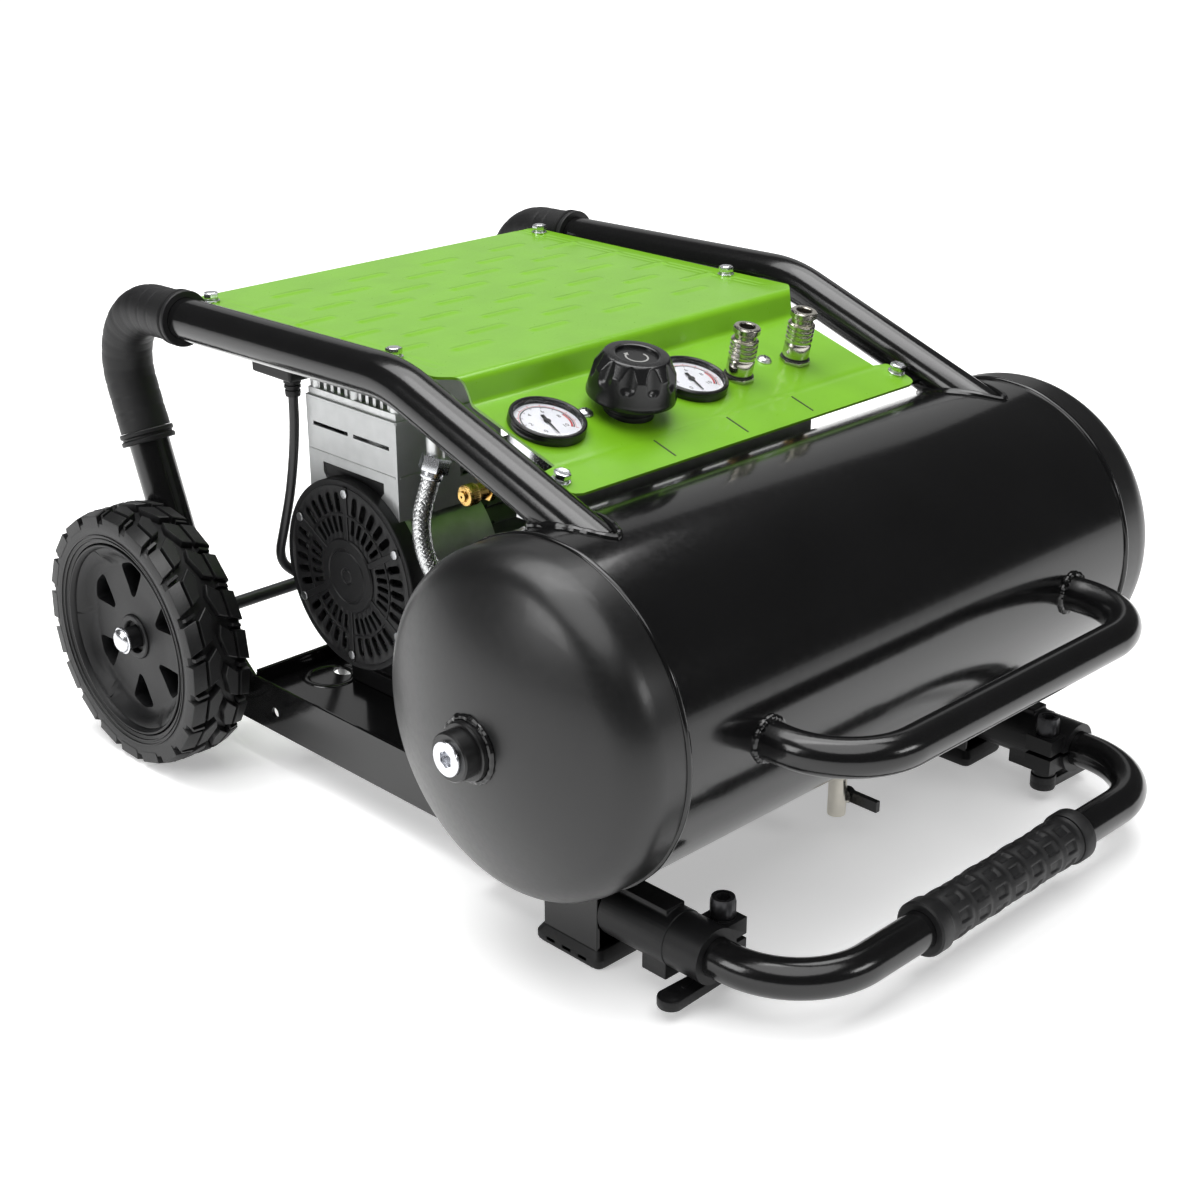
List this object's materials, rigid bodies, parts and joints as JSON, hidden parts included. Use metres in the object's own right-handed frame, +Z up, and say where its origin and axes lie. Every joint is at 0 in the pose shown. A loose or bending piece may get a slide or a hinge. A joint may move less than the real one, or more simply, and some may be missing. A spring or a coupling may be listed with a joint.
{
  "type": "air compressor",
  "caption": "Portable oil-free air compressor: horizontal tank on a wheeled tube frame, motor pump behind, gauge panel and sliding pull handle.",
  "frame": {"origin": "on the floor, at the centre of the compressor's bounding box seen from above, the supply cord left out", "axes": "+X along the tank towards its right end seen from the front, +Y from the pull handle back to the wheels, +Z up"},
  "size_m": [0.6098, 0.7394, 0.3448],
  "materials": {
    "aluminium": "as cast",
    "black_gloss": "gloss black powder coat",
    "black_plastic": "fine textured black",
    "black_rubber": "matte black",
    "box_plastic": "black, semi-gloss",
    "braid": "braided stainless wire",
    "brass": "machined",
    "copper": "enamelled windings",
    "cord_black": "satin black jacket",
    "dark_alu": "dark grey",
    "dial": "white print",
    "glass": "clear",
    "green": "gloss green powder coat",
    "nickel": "satin nickel",
    "red_plastic": "red",
    "silver_paint": "satin silver",
    "steel_dark": "black oxide",
    "tank_black": "gloss black enamel",
    "tyre": "matte black",
    "zinc": "zinc plated"
  },
  "bodies": {
    "frame": {"tank_shell": "tank_black", "tank_heads": "tank_black", "tank_plugs": "zinc", "side_tube_left": "black_gloss", "side_tube_right": "black_gloss", "elbow_grips": "black_rubber", "cover_tabs": "black_gloss", "carry_bar": "black_gloss", "base_tray": "black_gloss", "guide_tubes": "black_gloss", "guide_sleeves": "black_plastic", "clamp_rings": "black_plastic", "clamp_screws": "steel_dark", "foot_brackets": "black_gloss", "rubber_feet": "black_rubber", "axle": "steel_dark", "axle_caps": "zinc", "top_cover": "green", "cover_fasteners": "zinc", "gauge_cases": "black_plastic", "gauge_dials": "dial", "gauge_lenses": "glass", "regulator_body": "black_plastic", "coupler_bodies": "nickel", "manifold": "aluminium", "switch_box": "box_plastic", "cord_gland": "black_plastic", "safety_valve": "brass", "check_valve": "brass", "delivery_hose": "braid", "drain_valve": "nickel", "motor_housing": "dark_alu", "motor_mounts": "black_gloss", "stator": "copper", "fan_grille": "black_plastic", "crankcase": "dark_alu", "cylinder_head": "aluminium", "cowl": "silver_paint", "piston": "aluminium", "power_cord": "cord_black", "cord_coil": "cord_black", "plug": "box_plastic"},
    "wheel_left": {"wheel_left": "black_plastic", "tyre_left": "tyre"},
    "wheel_right": {"wheel_right": "black_plastic", "tyre_right": "tyre"},
    "handle": {"handle_tube": "black_gloss", "handle_grip": "black_rubber"},
    "lever_left": {"clamp_lever_left": "black_plastic"},
    "lever_right": {"clamp_lever_right": "black_plastic"},
    "knob": {"regulator_knob": "black_plastic"},
    "tank_pointer": {"tank_needle": "box_plastic"},
    "tool_pointer": {"tool_needle": "box_plastic"},
    "sleeve_inner": {"coupler_sleeve_inner": "nickel"},
    "sleeve_outer": {"coupler_sleeve_outer": "nickel"},
    "switch_pull": {"switch_knob": "red_plastic"},
    "relief_stem": {"safety_stem": "brass"},
    "drain_handle": {"drain_lever": "black_plastic"},
    "rotor": {"rotor": "zinc", "cooling_fan": "black_plastic"}
  },
  "joints": [
    {"name": "wheel_left_spin", "type": "hinge", "parent": "frame", "child": "wheel_left", "pos_m": [-0.2345, 0.2555, 0.096], "axis": [1, 0, 0], "continuous": true},
    {"name": "wheel_right_spin", "type": "hinge", "parent": "frame", "child": "wheel_right", "pos_m": [0.2345, 0.2555, 0.096], "axis": [1, 0, 0], "continuous": true},
    {"name": "handle_slide", "type": "slide", "parent": "frame", "child": "handle", "axis": [0, -1, 0], "range_m": [0, 0.15]},
    {"name": "lever_left_swing", "type": "hinge", "parent": "frame", "child": "lever_left", "pos_m": [-0.171, -0.2535, 0.014], "axis": [0, 0, 1], "range_deg": [0, 100]},
    {"name": "lever_right_swing", "type": "hinge", "parent": "frame", "child": "lever_right", "pos_m": [0.171, -0.2535, 0.014], "axis": [0, 0, -1], "range_deg": [0, 100]},
    {"name": "regulator_turn", "type": "hinge", "parent": "frame", "child": "knob", "pos_m": [-0.063, -0.067, 0.29893], "axis": [0, -0.1908, 0.9816], "range_deg": [0, 1080]},
    {"name": "tank_needle_turn", "type": "hinge", "parent": "frame", "child": "tank_pointer", "pos_m": [-0.128, -0.059, 0.3013], "axis": [0, 0.284, -0.9588], "range_deg": [0, 270]},
    {"name": "tool_needle_turn", "type": "hinge", "parent": "frame", "child": "tool_pointer", "pos_m": [0.004, -0.059, 0.3013], "axis": [0, 0.284, -0.9588], "range_deg": [0, 270]},
    {"name": "sleeve_inner_slide", "type": "slide", "parent": "frame", "child": "sleeve_inner", "axis": [0, -0.1908, 0.9816], "range_m": [0, 0.0035], "stiffness_N_per_m": 800, "springref_m": -0.002},
    {"name": "sleeve_outer_slide", "type": "slide", "parent": "frame", "child": "sleeve_outer", "axis": [0, -0.1908, 0.9816], "range_m": [0, 0.0035], "stiffness_N_per_m": 800, "springref_m": -0.002},
    {"name": "switch_slide", "type": "slide", "parent": "frame", "child": "switch_pull", "axis": [0, 1, 0], "range_m": [0, 0.006]},
    {"name": "relief_slide", "type": "slide", "parent": "frame", "child": "relief_stem", "axis": [-1, 0, 0], "range_m": [0, 0.003], "stiffness_N_per_m": 1500, "springref_m": -0.001},
    {"name": "drain_turn", "type": "hinge", "parent": "frame", "child": "drain_handle", "pos_m": [0.0294, -0.187, 0.03], "axis": [1, 0, 0], "range_deg": [0, 90]},
    {"name": "rotor_spin", "type": "hinge", "parent": "frame", "child": "rotor", "pos_m": [0, 0.105, 0.1635], "axis": [1, 0, 0], "continuous": true}
  ]
}
